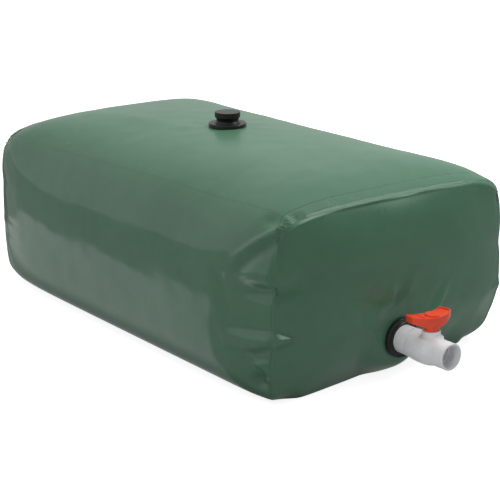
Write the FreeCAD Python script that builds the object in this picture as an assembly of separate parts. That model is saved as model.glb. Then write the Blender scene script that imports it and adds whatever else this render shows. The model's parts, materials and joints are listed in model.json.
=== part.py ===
import FreeCAD, Part
import math
import os

# Collapsible water tank, filled: a bag of coated fabric with a screw-capped filler on top and a
# ball valve at the foot of one end. Millimetres, +Z up, X along the bag with the valve at +X.
# The origin is on the ground under the middle of the bag.

# bag, driving sizes
fold_half_length = 552.0      # middle of the bag to the folded edge of each end panel
end_half_width = 325.0
middle_half_width = 356.0
end_height = 392.0
middle_height = 444.0
crown = 6.0                   # rise of the top between its two long shoulders
belt_height = 190.0           # where the long sides stand out furthest
belt_over_base = 1.05         # lower half of a section, as if it reached this far below the ground
swell_power = 7.0             # how late along its length the bag narrows
end_top_power = 7.5           # squareness of the upper half of a section, at the ends
middle_top_power = 3.0
tap_end_base_power = 9.5
far_end_base_power = 7.0
middle_base_power = 7.2
upright_sharpness = 1.4       # how soon the side's folds die out towards the top
fabric = 1.0                  # thickness of the coated fabric
seam_gap = 0.3                # between the sheet's edge and the panel's margin

# end panels
panel_bulge = 34.0
panel_bulge_power = 3.0
flat_blend = 55.0             # from the flat round a fitting to the bulge
margin_blend = 0.3            # the margin stands proud where the top turns level
margin_width = 28.0           # welded margin, turned back over the sheet
fold_radius = 4.0
foot_pull = 20.0              # how far the foot of a panel is drawn in at its middle
foot_pull_height = 120.0
foot_round = 15.0             # and how far it turns under at its two corners
foot_round_height = 32.0

# gathers and folds at the corners
pleat_count = 9
pleat_pitch = 9.6
pleat_depth = 1.5
pleat_reach = 26.0            # beyond the margin, along the sheet
pleat_cover_spare = 0.5       # fabric under the hollows between pleats
pleat_cover_spread = 12.0     # and how far past them it thins out
# folds across an upright edge: rise, height at the edge, half thickness, middle along the side
# from the edge, half length, slope
corner_shelf = (4.5, 292.0, 15.0, -20.0, 50.0, 0.13)
corner_dent = (-8.0, 262.0, 20.0, -20.0, 55.0, 0.13)
corner_ridge = (10.0, 146.0, 20.0, -40.0, 85.0, 0.1)
corner_crease = (3.5, 88.0, 9.0, -25.0, 30.0, 0.0)
corner_hollow = (-8.0, 48.0, 20.0, -28.0, 32.0, 0.0)
other_corner_share = 0.3      # the folds at the other corners, as a share of those by the valve at -Y
far_corner_lift = 14.0        # and how much higher they sit at the far end
tap_corner_lift = -10.0       # and at the corner by the valve at +Y
fold_foot = 12.0              # folds die out this near the ground
fold_start = 90.0             # and start this far from the flat round the outlet
tension_fold = 3.5            # folds that fan up from the outlet
tension_radius = 105.0        # from the pipe's axis
tension_spread = 42.0
tension_angle = 0.75          # radians each way of straight up
tension_waves = 7.5           # to the radian
tension_shift = 0.6

# filler on the top
filler_x = -30.0
filler_hole_radius = 25.6
filler_flange_radius = 45.0
filler_flange_thickness = 9.0
filler_edge_round = 2.5
filler_step_radius = 32.0
filler_step_height = 3.0
filler_collar_radius = 25.6
filler_collar_height = 1.5
neck_radius = 22.6
neck_bore = 18.5
neck_height = 21.5            # above the flange
barrel_radius = 25.0
barrel_drop = 20.0            # below the fabric
filler_gasket_radius = 43.0
filler_droop = 0.4            # the fabric falls away by this much under the flange's rim
locknut_radius = 39.0
locknut_height = 10.0
locknut_notches = 8
locknut_notch_radius = 4.0
locknut_notch_depth = 2.5
locknut_rim = 3.0
chamfer = 1.0
deep_chamfer = 2.0
gasket_thickness = 2.0
cap_grip_radius = 30.5
cap_grip_height = 12.7
cap_flute_count = 28
cap_flute_radius = 1.7
cap_flute_depth = 0.9
cap_skirt_radius = 26.0
cap_skirt_height = 7.0
cap_skirt_flare = 1.5
cap_top = 2.6
liner_thickness = 1.5

# outlet and valve at the foot of the +X end, measured along and from the pipe's axis
outlet_height = 92.0
outlet_stand_out = 25.0       # outer face of the fabric at the outlet, beyond the folded edge
outlet_flat_radius = 50.0
outlet_hole_radius = 25.6
adaptor_flange_radius = 44.0
adaptor_flange_thickness = 5.0
adaptor_bore = 20.0
washer_radius = 41.0
washer_thickness = 1.5
nut_radius = 44.0
nut_thickness = 10.0
nut_hub_radius = 36.0
nut_hub_height = 2.5
nut_round = 2.0
pipe_radius = 25.0            # 50 mm pipe
socket_clearance = 0.2
socket_depth = 28.0
flow_radius = 18.0
end_piece_radius = 31.0
end_piece_length = 29.0
groove_width = 2.5
groove_radius = 28.6
body_start_radius = 31.5
body_belly_radius = 34.5
body_belly_start = 46.0       # from the valve's face
body_belly_end = 88.0
body_rise_back = 14.0         # how the body's line climbs to its belly and leaves it
body_rise_drop = 0.6
body_fall_on = 12.0
body_fall_drop = 0.2
socket_start = 108.0
socket_radius = 29.3
valve_length = 141.0
stem_from_face = 81.0
ball_radius = 27.0
ball_bore = 16.0
chamber_radius = 27.4
seat_inner = 18.0
seat_outer = 24.0
seat_near = 15.5              # from the ball's centre to the face of a seat
seat_far = 22.5               # and to its back
ring_seal = 1.27              # cord radius of the seal round the end piece
ring_seal_place = 47.0
tower_radius = 19.6
tower_foot_radius = 26.0
tower_foot_height = 28.0
tower_neck_height = 36.0
tower_neck_flare = 1.8
tower_neck_bend = 4.2
tower_height = 43.0
stem_radius = 7.0
stem_foot_radius = 10.5
stem_foot_low = 27.2
stem_foot_high = 31.2
stem_seal = 0.97              # cord radius of the stem's seals
stem_seal_heights = (35.5, 39.5)
stem_seal_groove = 5.2
stem_top = 64.0
stem_square = 9.0
tang_width = 6.0
tang_length = 17.8
tang_low = 22.0
screw_hole_depth = 15.0
thrust_washer_thickness = 1.0
closed_overtravel = 5.0       # degrees that the shut handle stands past square to the pipe

# handle, heights from the pipe's axis
handle_clearance = 0.6
skirt_radius = 16.5
hub_radius = 20.0
hub_back = 19.0
hub_top = 75.5
wing_out = 52.0               # front corner of a tip, along the handle
wing_back = 16.0              # sweep of the tips towards the tank
wing_tip_half_width = 14.5
wing_tip_skew = 7.0
wing_tip_round = 1.5
wing_rise = 2.5
wing_depth = 13.0
wing_root_low = 54.0
wing_rim = 2.5
wing_pocket_start = 25.0
wing_pocket_drop = 0.7
handle_web_low = 64.3
handle_web_high = 68.0
screw_well_radius = 11.0
plug_radius = 15.5
plug_height = 3.5
plug_seat_depth = 0.5
plug_wall = 1.5
screw_head_radius = 4.5
screw_head_height = 3.0
screw_radius = 1.8
screw_length = 14.0

# spacing of the lines from which the fabric's surfaces are drawn
contact_step = 14.0
side_step = 20.0
top_step = 40.0
foot_step = 22.0
patch_count = 8               # faces side by side in each skin
panel_foot = 0.3              # the foot of each panel clears the ground, under its own folds

running = 0.3                 # between pieces that turn or slide on each other
seated = 0.1                  # between pieces that rest on each other

# places that follow from the sizes
seam_x = fold_half_length - margin_width
outlet_flat_x = fold_half_length + outlet_stand_out
top_z = middle_height + crown
face_x = outlet_flat_x + washer_thickness + nut_thickness + 3 * seated
stem_x = face_x + stem_from_face
flange_z = top_z + seated
neck_base_z = flange_z + filler_flange_thickness
neck_top_z = neck_base_z + neck_height
cap_roof_z = neck_top_z + liner_thickness + 2 * seated
cap_top_z = cap_roof_z + cap_top
V = FreeCAD.Vector


def smooth(t):
    """0 below 0, 1 above 1, and an S-curve between."""
    t = min(max(t, 0.0), 1.0)
    return t * t * (3 - 2 * t)


def bell(t):
    return math.exp(-t * t)


def section_sizes(x):
    """Half width, height and squareness of the bag at x, before crown and folds."""
    swell = 1 - min(abs(x) / fold_half_length, 1.0) ** swell_power
    half_width = end_half_width + (middle_half_width - end_half_width) * swell
    height = end_height + (middle_height - end_height) * swell
    top_power = end_top_power + (middle_top_power - end_top_power) * swell
    end_base_power = tap_end_base_power if x > 0 else far_end_base_power
    base_power = end_base_power + (middle_base_power - end_base_power) * swell
    return half_width, height, top_power, base_power


def section_point(x, angle):
    """Point of the section at x in a direction from its middle: two half superellipses."""
    half_width, height, top_power, base_power = section_sizes(x)
    c = math.cos(angle)
    s = math.sin(angle)
    power = top_power if s >= 0 else base_power
    reach = height - belt_height if s >= 0 else belt_height * belt_over_base
    radius = (abs(c / half_width) ** power + abs(s / reach) ** power) ** (-1 / power)
    y = radius * c
    z = belt_height + radius * s
    if s >= 0:
        z += crown * (radius * s / reach) ** 2 * (1 - (y / half_width) ** 2)
    return y, max(z, 0.0)


def contact_angle(x):
    """Direction in which the section at x meets the ground, on the +Y side."""
    half_width, height, top_power, base_power = section_sizes(x)
    y = half_width * (1 - belt_over_base ** -base_power) ** (1 / base_power)
    return math.atan2(-belt_height, y)


def section_curve(x, steps=720):
    """Section from the contact on the -Y side over the top to the +Y side: points and lengths."""
    low = contact_angle(x)
    first = math.pi - low
    points = []
    for i in range(steps + 1):
        points.append(section_point(x, first + (low - first) * i / steps))
    lengths = [0.0]
    for a, b in zip(points, points[1:]):
        lengths.append(lengths[-1] + math.dist(a, b))
    return points, lengths


def along(points, lengths, distance):
    """Point, outward normal at a distance along a section."""
    low = 0
    high = len(lengths) - 1
    while high - low > 1:
        middle = (low + high) // 2
        if lengths[middle] <= distance:
            low = middle
        else:
            high = middle
    share = (distance - lengths[low]) / (lengths[high] - lengths[low])
    y = points[low][0] + (points[high][0] - points[low][0]) * share
    z = points[low][1] + (points[high][1] - points[low][1]) * share
    before = points[max(low - 4, 0)]
    after = points[min(high + 4, len(points) - 1)]
    run = math.dist(before, after)
    normal_y = -(after[1] - before[1]) / run
    normal_z = (after[0] - before[0]) / run
    return y, z, normal_y, normal_z


def shoulder_distances(x):
    """Distances along the section at x of its two upper corners."""
    half_width, height, top_power, base_power = section_sizes(x)
    low = contact_angle(x)
    first = math.pi - low
    corner = math.atan2(height - belt_height, half_width)
    points, lengths = section_curve(x)
    steps = len(points) - 1
    found = []
    for angle in (math.pi - corner, corner):
        i = (first - angle) / (first - low) * steps
        found.append(lengths[int(round(i))])
    return found[0], found[1], lengths[-1]


near_shoulder, far_shoulder, end_girth = shoulder_distances(fold_half_length)
pleat_half_span = pleat_count * pleat_pitch / 2


def shares_along_girth(pleat_steps):
    """Shares of the girth for the grid's lines, close together where the pleats are."""
    stops = [0.0]
    edges = [(contact_step, contact_step / 2),
             (near_shoulder - pleat_half_span, side_step),
             (near_shoulder + pleat_half_span, None),
             (far_shoulder - pleat_half_span, top_step),
             (far_shoulder + pleat_half_span, None),
             (end_girth - contact_step, side_step),
             (end_girth, contact_step / 2)]
    for end, step in edges:
        start = stops[-1]
        count = pleat_count * pleat_steps if step is None else max(2, round((end - start) / step))
        for i in range(1, count + 1):
            stops.append(start + (end - start) * i / count)
    return [stop / end_girth for stop in stops]


def corner_folds(across, z, side_x, side_y):
    """Dents and ridges that cross an upright edge: across is 0 at the edge, minus on the sheet."""
    share = 1.0 if side_x > 0 > side_y else other_corner_share
    lift = 0.0
    if side_x < 0:
        lift += far_corner_lift
    if side_y > 0:
        lift += tap_corner_lift
    total = 0.0
    for rise, height, half_thick, middle, half_long, slope in (
            corner_shelf, corner_dent, corner_ridge, corner_crease, corner_hollow):
        drop = (z - height - lift - slope * across) / half_thick
        total += rise * bell(drop) * bell((across - middle) / half_long)
    return total * share * smooth(z / fold_foot)


def sign(value):
    return 1 if value > 0 else -1


def side_folds(x, y, z, normal_y):
    folds = corner_folds(abs(x) - fold_half_length, z, sign(x), sign(y))
    return folds * smooth(upright_sharpness * abs(normal_y))


def pleats(x, share):
    """Height of the gathers at the two upper corners of each end."""
    reach = smooth((abs(x) - seam_x + pleat_reach) / pleat_reach)
    if reach == 0:
        return 0.0
    reach *= smooth((fold_half_length - abs(x)) / fold_radius)
    height = 0.0
    for shoulder in (near_shoulder, far_shoulder):
        offset = share * end_girth - shoulder
        if abs(offset) < pleat_half_span:
            fade = smooth((pleat_half_span - abs(offset)) / pleat_pitch)
            height += pleat_depth * reach * fade * math.cos(2 * math.pi * offset / pleat_pitch)
    return height


def pleat_cover(x, share):
    """How deep the inner face lies under the gathers, where the fabric is folded together."""
    spread = pleat_cover_spread
    reach = smooth((abs(x) - seam_x + pleat_reach + spread) / pleat_reach)
    depth = 0.0
    for shoulder in (near_shoulder, far_shoulder):
        offset = abs(share * end_girth - shoulder)
        depth += (pleat_depth + pleat_cover_spare) * smooth((pleat_half_span + spread - offset) / spread)
    return depth * reach


def sheet_grid(stations, shares, inside):
    """Rows of points at the stations, from contact to contact over the top."""
    rows = []
    for x in stations:
        points, lengths = section_curve(x)
        row = []
        for share in shares:
            y, z, ny, nz = along(points, lengths, share * lengths[-1])
            push = side_folds(x, y, z, ny)
            if inside:
                push -= fabric + pleat_cover(x, share)
            else:
                push += pleats(x, share)
            row.append(V(x, y + ny * push, z + nz * push))
        floor = fabric if inside else 0.0
        for end in (0, -1):
            row[end] = V(x, row[end].y, floor)
        rows.append(row)
    return rows


def spline_poles(values, knots, closed):
    """Poles of the cubic spline through points at the knots; a closed one runs on at its ends."""
    last = len(knots) - 1
    full = [knots[0]] * 3 + knots + [knots[-1]] * 3
    below = [0.0] * (last + 1)
    middle = [1.0] * (last + 1)
    above = [0.0] * (last + 1)
    wanted = list(values)
    for i in range(1, last):
        k = i + 3
        span = full[k + 1] - full[k - 1]
        below[i] = (full[k + 1] - full[k]) ** 2 / (span * (full[k + 1] - full[k - 2]))
        above[i] = (full[k] - full[k - 1]) ** 2 / (span * (full[k + 2] - full[k - 1]))
        middle[i] = 1 - below[i] - above[i]
    first_gap = knots[1] - knots[0]
    last_gap = knots[-1] - knots[-2]
    if closed:
        slope = (values[1] - values[-2]) * (1 / (first_gap + last_gap))
        wanted[0] = values[0] + slope * (first_gap / 3)
        wanted[-1] = values[-1] - slope * (last_gap / 3)
    else:
        share = first_gap / (knots[2] - knots[0])
        middle[0] = 1 + share
        above[0] = -share
        share = last_gap / (knots[-1] - knots[-3])
        middle[-1] = 1 + share
        below[-1] = -share
    for i in range(1, last + 1):
        factor = below[i] / middle[i - 1]
        middle[i] -= factor * above[i - 1]
        wanted[i] = wanted[i] - wanted[i - 1] * factor
    poles = [None] * (last + 1)
    poles[last] = wanted[last] * (1 / middle[last])
    for i in range(last - 1, -1, -1):
        poles[i] = (wanted[i] - poles[i + 1] * above[i]) * (1 / middle[i])
    return [values[0]] + poles + [values[-1]]


def chord_knots(lines):
    """Knots spaced by the mean distance between neighbouring points of the lines."""
    knots = [0.0]
    for i in range(1, len(lines[0])):
        steps = [(line[i] - line[i - 1]).Length for line in lines]
        knots.append(knots[-1] + sum(steps) / len(steps))
    return knots


def spline_faces(rows, closed=False):
    """Faces side by side of the smooth surface through a grid of points; rows may be closed."""
    columns = list(zip(*rows))
    row_knots = chord_knots(rows[-4:])
    column_knots = chord_knots(columns)
    half_way = [spline_poles(row, row_knots, closed) for row in rows]
    turned = [spline_poles(list(column), column_knots, False) for column in zip(*half_way)]
    poles = [list(row) for row in zip(*turned)]
    surface = Part.BSplineSurface()
    surface.buildFromPolesMultsKnots(
        poles,
        [4] + [1] * (len(column_knots) - 2) + [4],
        [4] + [1] * (len(row_knots) - 2) + [4],
        column_knots, row_knots, False, False, 3, 3)
    last = len(row_knots) - 1
    cuts = [row_knots[round(i * last / patch_count)] for i in range(patch_count + 1)]
    faces = []
    for start, stop in zip(cuts, cuts[1:]):
        patch = surface.copy()
        patch.segment(column_knots[0], column_knots[-1], start, stop)
        faces.append(patch.toShape())
    return faces


def edges_where(faces, test):
    """Edges of some faces all of whose points pass a test."""
    found = []
    for face in faces:
        for edge in face.Edges:
            if all(test(p) for p in edge.discretize(5)):
                found.append(edge)
    return found


def flat_face(edges, holes=()):
    wires = [Part.Wire(Part.__sortEdges__(edges))]
    wires += [Part.Wire(Part.__sortEdges__(hole)) for hole in holes]
    if len(wires) == 1:
        return Part.Face(wires[0])
    return Part.makeFace(wires, "Part::FaceMakerBullseye")


def closed_solid(faces):
    shell = Part.makeShell(faces)
    shell.sewShape()
    return Part.makeSolid(shell)


def upright_cylinder(radius, x, z_low, z_high):
    return Part.makeCylinder(radius, z_high - z_low, V(x, 0, z_low))


def level_cylinder(radius, x_low, x_high):
    return Part.makeCylinder(radius, x_high - x_low, V(x_low, 0, outlet_height), V(1, 0, 0))


def body_sheet():
    """The wrap: one sheet round the bag, open at both ends, with the filler's hole."""
    end = seam_x - seam_gap / 2
    half = [0, 0.3, 0.55, 0.7, 0.79, 0.855, 0.9, 0.93, 0.955, 0.98, 1]
    stations = [-end * s for s in reversed(half)] + [end * s for s in half[1:]]
    outer = spline_faces(sheet_grid(stations, shares_along_girth(4), False))
    inner = spline_faces(sheet_grid(stations, shares_along_girth(1), True))
    faces = outer + inner
    rims = {-1: [], 1: []}
    for skin, floor in ((outer, 0.0), (inner, fabric)):
        contacts = edges_where(skin, lambda p: abs(p.z - floor) < 1e-6)
        ends = []
        for side in (-1, 1):
            rim = edges_where(skin, lambda p: abs(p.x - side * end) < 1e-6)
            corners = [v.Point for edge in rim for v in edge.Vertexes if abs(v.Z - floor) < 1e-6]
            foot = Part.makeLine(corners[0], corners[-1])
            ends.append(foot)
            rims[side].append(rim + [foot])
        faces.append(flat_face(contacts + ends))
    for side in (-1, 1):
        faces.append(flat_face(rims[side][0], [rims[side][1]]))
    sheet = closed_solid(faces)
    return sheet.cut(upright_cylinder(filler_hole_radius, filler_x, middle_height - filler_hole_radius,
                                      cap_top_z))


def panel_face_x(y, z, centre_z, flat_radius, flat_x, fan):
    """How far out the face of an end panel stands, before the corner folds."""
    width = min(abs(y) / end_half_width, 1.0) ** panel_bulge_power
    rise = min(abs(z / (end_height / 2) - 1), 1.0) ** panel_bulge_power
    x = fold_half_length + panel_bulge * (1 - width) * (1 - rise) - foot_draw(y, z)
    radius = math.hypot(y, z - centre_z)
    if fan:
        turn = math.atan2(y, z - centre_z)
        fan_out = bell((radius - tension_radius) / tension_spread) * bell(turn / tension_angle)
        x += tension_fold * fan_out * math.cos(turn * tension_waves + tension_shift)
    return flat_x + (x - flat_x) * smooth((radius - flat_radius) / flat_blend)


def foot_draw(y, z):
    """The foot of a panel is drawn in between its corners, and turns under at them."""
    drop = min(max(1 - z / foot_pull_height, 0.0), 1.0)
    low = min(max(1 - z / foot_round_height, 0.0), 1.0)
    width = min(abs(y) / end_half_width, 1.0) ** 2
    return foot_pull * drop ** 2 * (1 - width) + foot_round * low ** 2 * width


def panel_grid(side, shares, centre_z, flat_radius, flat_x, inside):
    """Rows from the flat round the fitting out to the fold, and back along the margin."""
    end = seam_x + seam_gap / 2
    lift = fabric if inside else 0.0
    lowest = lift + panel_foot
    foot_half = -section_curve(fold_half_length)[0][0][0]
    foot_count = round((foot_half - contact_step) / foot_step)
    foot_shares = [contact_step / 4 / foot_half, contact_step / 2 / foot_half]
    for i in range(1, foot_count + 1):
        distance = contact_step + (foot_half - contact_step) * i / foot_count
        foot_shares.append(distance / foot_half / 2)
    fan = side > 0
    face_shares = [0, 0.04, 0.1, 0.19, 0.31, 0.45, 0.6, 0.74, 0.86, 0.94]
    margin_shares = [0, 0.5, 1]
    curves = {}

    def ring(x):
        """Section at x with its folds, closed along the ground; one x for each column."""
        key = round(x, 3)
        if key not in curves:
            curves[key] = section_curve(x)
        return curves[key]

    def edge_point(x, share):
        points, lengths = ring(x)
        y, z, ny, nz = along(points, lengths, share * lengths[-1])
        push = side_folds(side * x, y, z, ny)
        on_margin = smooth((fold_half_length - x) / fold_radius)
        proud = fabric * on_margin * smooth(nz / margin_blend - 1)
        if inside:
            push -= fabric + proud + pleat_cover(x, share)
        else:
            push += pleats(x, share) + proud
        return y + ny * push, z + nz * push

    def foot_point(x, share):
        points, lengths = ring(x)
        left = points[0][0]
        right = points[-1][0]
        return right + (left - right) * share, lowest

    columns = [(foot_point, 1 - share) for share in reversed(foot_shares)]
    columns += [(edge_point, share) for share in shares]
    columns += [(foot_point, share) for share in foot_shares]

    rows = [[] for _ in range(len(face_shares) + 2 + len(margin_shares))]
    for place, share in columns:
        outline_y, outline_z = place(fold_half_length, share)
        turn = math.atan2(outline_z - centre_z, outline_y)
        start_y = flat_radius * math.cos(turn)
        start_z = centre_z + flat_radius * math.sin(turn)
        fold_x = fold_half_length - foot_draw(outline_y, outline_z)
        for i, face_share in enumerate(face_shares):
            y = start_y + (outline_y - start_y) * face_share
            z = start_z + (outline_z - start_z) * face_share
            x = panel_face_x(y, z, centre_z, flat_radius, flat_x, fan)
            folds = corner_folds(end_half_width - abs(y), z, side, sign(y))
            x += folds * smooth((math.hypot(y, z - centre_z) - flat_radius) / fold_start)
            rows[i].append(V(side * (x - lift), y, z))
        row = len(face_shares)
        for turned in (0.33, 0.75):
            back = fold_radius * (1 - math.cos(turned * math.pi / 2))
            inward = fold_radius * (1 - math.sin(turned * math.pi / 2))
            x = fold_x - back
            y, z = place(x, share)
            size = math.hypot(y, z - centre_z)
            y -= inward * y / size
            z -= inward * (z - centre_z) / size
            rows[row].append(V(side * (x - lift * (1 - turned)), y, max(z, lowest)))
            row += 1
        for margin_share in margin_shares:
            x = fold_x - fold_radius + (end - fold_x + fold_radius) * margin_share
            y, z = place(x, share)
            rows[row].append(V(side * x, y, max(z, lowest)))
            row += 1
    return rows


def end_panel(side, centre_z, flat_radius, flat_x):
    """One end of the bag, with its margin turned back; flat where the fitting is clamped."""
    end = seam_x + seam_gap / 2
    place = (centre_z, flat_radius, flat_x)
    outer = spline_faces(panel_grid(side, shares_along_girth(4), *place, False), True)
    inner = spline_faces(panel_grid(side, shares_along_girth(1), *place, True), True)
    faces = outer + inner
    rims = []
    for skin, plane_x in ((outer, flat_x), (inner, flat_x - fabric)):
        rims.append(edges_where(skin, lambda p: abs(p.x - side * end) < 1e-6))
        middle = edges_where(skin, lambda p: abs(p.x - side * plane_x) < 1e-6)
        faces.append(flat_face(middle))
    faces.append(flat_face(rims[0], [rims[1]]))
    return closed_solid(faces)


def outline(first, *steps):
    """Closed outline in a plane: a step is the end of a line, or an arc's middle and end."""
    edges = []
    here = first
    for step in steps + (first,):
        if isinstance(step[0], tuple):
            middle, step = step
            edges.append(Part.Arc(V(*here, 0), V(*middle, 0), V(*step, 0)).toShape())
        elif math.dist(here, step) > 1e-9:
            edges.append(Part.makeLine(V(*here, 0), V(*step, 0)))
        here = step
    return Part.Face(Part.Wire(edges))


def turned_upright(first, *steps):
    """Solid of revolution about the filler's axis, from an outline of radius and height."""
    solid = outline(first, *steps)
    solid.rotate(V(0, 0, 0), V(1, 0, 0), 90)
    solid = solid.revolve(V(0, 0, 0), V(0, 0, 1), 360)
    return solid.translated(V(filler_x, 0, 0))


def turned_level(first, *steps):
    """Solid of revolution about the pipe's axis; places are from the valve's face."""
    solid = outline(first, *steps).revolve(V(0, 0, 0), V(1, 0, 0), 360)
    return solid.translated(V(face_x, 0, outlet_height))


def turned_on_stem(first, *steps):
    """Solid of revolution about the stem, from an outline of radius and height above the pipe."""
    solid = outline(first, *steps)
    solid.rotate(V(0, 0, 0), V(1, 0, 0), 90)
    solid = solid.revolve(V(0, 0, 0), V(0, 0, 1), 360)
    return solid.translated(V(stem_x, 0, outlet_height))


def on_stem(solid):
    """Move what is drawn about the origin to the stem, turned as the shut handle stands."""
    solid.rotate(V(0, 0, 0), V(0, 0, 1), -closed_overtravel)
    return solid.translated(V(stem_x, 0, outlet_height))


def filler_fitting():
    low = top_z - fabric - barrel_drop
    rim = filler_flange_radius
    edge = filler_edge_round
    bend = edge * (1 - math.sqrt(0.5))
    step_z = neck_base_z + filler_step_height
    return turned_upright(
        (neck_bore, low), (barrel_radius, low), (barrel_radius, flange_z), (rim, flange_z),
        (rim, neck_base_z - edge),
        ((rim - bend, neck_base_z - bend), (rim - edge, neck_base_z)),
        (filler_step_radius, neck_base_z), (filler_step_radius - 1, step_z - 1),
        (filler_collar_radius, step_z), (neck_radius, step_z + filler_collar_height),
        (neck_radius, neck_top_z), (neck_bore, neck_top_z))


def filler_gasket():
    high = top_z - fabric - filler_droop
    low = high - gasket_thickness
    inner = barrel_radius + seated
    return turned_upright((inner, low), (filler_gasket_radius, low),
                          (filler_gasket_radius, high), (inner, high))


def filler_locknut():
    high = top_z - fabric - filler_droop - gasket_thickness - seated
    low = high - locknut_height
    inner = barrel_radius + seated
    nut = turned_upright((inner, low), (locknut_radius - deep_chamfer, low),
                         (locknut_radius, low + deep_chamfer), (locknut_radius, high), (inner, high))
    place = filler_x + locknut_radius + locknut_notch_radius - locknut_notch_depth
    notch = upright_cylinder(locknut_notch_radius, place, low - 1, high - locknut_rim)
    for i in range(locknut_notches):
        nut = nut.cut(notch.rotated(V(filler_x, 0, 0), V(0, 0, 1), 360 * i / locknut_notches))
    return nut


def filler_cap():
    skirt_z = cap_top_z - cap_grip_height - cap_skirt_height
    grip_z = cap_top_z - cap_grip_height
    inner = neck_radius + running
    grip = cap_grip_radius
    cap = turned_upright(
        (0, cap_roof_z), (inner, cap_roof_z), (inner, skirt_z), (cap_skirt_radius, skirt_z),
        (cap_skirt_radius + cap_skirt_flare, grip_z - deep_chamfer), (grip - chamfer, grip_z),
        (grip, grip_z + chamfer), (grip, cap_top_z - chamfer), (grip - chamfer, cap_top_z),
        (0, cap_top_z))
    place = filler_x + grip + cap_flute_radius - cap_flute_depth
    flute = upright_cylinder(cap_flute_radius, place, grip_z - 1, cap_top_z + 1)
    flutes = [flute.rotated(V(filler_x, 0, 0), V(0, 0, 1), 360 * i / cap_flute_count)
              for i in range(cap_flute_count)]
    return cap.cut(Part.makeCompound(flutes))


def cap_liner():
    low = neck_top_z + seated
    high = low + liner_thickness
    return turned_upright((0, low), (neck_radius, low), (neck_radius, high), (0, high))


def tank_adaptor():
    """Flange inside the tank, and the barrel that carries the nut and the valve."""
    back = outlet_flat_x - fabric - 2 * seated - gasket_thickness - face_x
    front = socket_depth - seated
    low = back - adaptor_flange_thickness
    rim = adaptor_flange_radius
    return turned_level(
        (low, adaptor_bore), (low, rim - deep_chamfer), (low + deep_chamfer, rim), (back, rim),
        (back, barrel_radius), (front - chamfer, barrel_radius), (front, barrel_radius - chamfer),
        (front, adaptor_bore))


def adaptor_gasket():
    high = outlet_flat_x - fabric - seated - face_x
    low = high - gasket_thickness
    inner = barrel_radius + seated
    outer = adaptor_flange_radius - chamfer
    return turned_level((low, inner), (low, outer), (high, outer), (high, inner))


def outlet_washer():
    low = outlet_flat_x + seated - face_x
    high = low + washer_thickness
    inner = barrel_radius + seated
    return turned_level((low, inner), (low, washer_radius), (high, washer_radius), (high, inner))


def outlet_nut():
    high = -seated
    low = high - nut_thickness
    step = high - nut_hub_height
    bend = nut_round * (1 - math.sqrt(0.5))
    inner = barrel_radius + seated
    return turned_level(
        (low, inner), (low, nut_radius), (step - nut_round, nut_radius),
        ((step - bend, nut_radius - bend), (step, nut_radius - nut_round)),
        (step, nut_hub_radius + chamfer), (high - chamfer, nut_hub_radius),
        (high, nut_hub_radius - chamfer), (high, inner))


def valve_end_piece():
    """The collar that takes the adaptor, and the spigot that holds the ring and the first seat."""
    socket = pipe_radius + socket_clearance
    spigot = chamber_radius - running
    groove_end = end_piece_length + groove_width
    seat_back = stem_from_face - seat_far - seated
    seat_front = stem_from_face - seat_near - seated
    ring = ring_seal + seated
    floor = chamber_radius - 2 * ring
    cup = seat_outer + seated
    return turned_level(
        (0, socket), (0, end_piece_radius - chamfer), (chamfer, end_piece_radius),
        (end_piece_length - chamfer, end_piece_radius),
        (end_piece_length, end_piece_radius - chamfer),
        (end_piece_length, groove_radius), (groove_end - seated, groove_radius),
        (groove_end - seated, spigot),
        (ring_seal_place - ring, spigot), (ring_seal_place - ring, floor),
        (ring_seal_place + ring, floor), (ring_seal_place + ring, spigot),
        (seat_front, spigot), (seat_front, cup), (seat_back, cup), (seat_back, flow_radius),
        (socket_depth, flow_radius), (socket_depth, socket))


def end_piece_seal():
    middle = V(face_x + ring_seal_place, 0, outlet_height)
    return Part.makeTorus(chamber_radius - ring_seal - seated, ring_seal, middle, V(1, 0, 0))


def valve_body():
    """Body with its socket and stem tower, bored for the ball, the seats and the stem."""
    start = end_piece_length + groove_width
    seat_start = stem_from_face + seat_near + seated
    seat_stop = stem_from_face + seat_far + seated
    socket = pipe_radius + socket_clearance
    socket_floor = valve_length - socket_depth
    cup = seat_outer + seated
    middle = (body_belly_start + body_belly_end) / 2
    waist = (body_belly_end + socket_start) / 2
    belly = body_belly_radius
    body = turned_level(
        (start, 0), (start, body_start_radius - chamfer), (start + chamfer, body_start_radius),
        ((middle - body_rise_back, belly - body_rise_drop), (middle, belly)),
        ((middle + body_fall_on, belly - body_fall_drop), (body_belly_end, belly - chamfer)),
        (waist, (belly - chamfer + socket_radius) / 2 - body_rise_drop),
        (socket_start, socket_radius), (valve_length - chamfer, socket_radius),
        (valve_length, socket_radius - chamfer), (valve_length, 0))
    tower = turned_on_stem(
        (0, 0), (tower_foot_radius, 0), (tower_foot_radius, tower_foot_height),
        ((tower_radius + tower_neck_flare, tower_neck_height - tower_neck_bend),
         (tower_radius, tower_neck_height)),
        (tower_radius, tower_height - chamfer), (tower_radius - chamfer, tower_height),
        (0, tower_height))
    body = body.fuse(tower).removeSplitter()
    bores = turned_level(
        (start - 1, 0), (start - 1, chamber_radius), (seat_start - seated, chamber_radius),
        (seat_start - seated, cup), (seat_stop, cup), (seat_stop, flow_radius),
        (socket_floor, flow_radius), (socket_floor, socket), (valve_length + 1, socket),
        (valve_length + 1, 0))
    pocket_top = stem_foot_high + thrust_washer_thickness + 2 * seated
    stem_way = turned_on_stem(
        (0, 0), (stem_foot_radius + running, 0), (stem_foot_radius + running, pocket_top),
        (stem_radius + running, pocket_top), (stem_radius + running, tower_height + 1),
        (0, tower_height + 1))
    return body.cut(bores).cut(stem_way)


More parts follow.
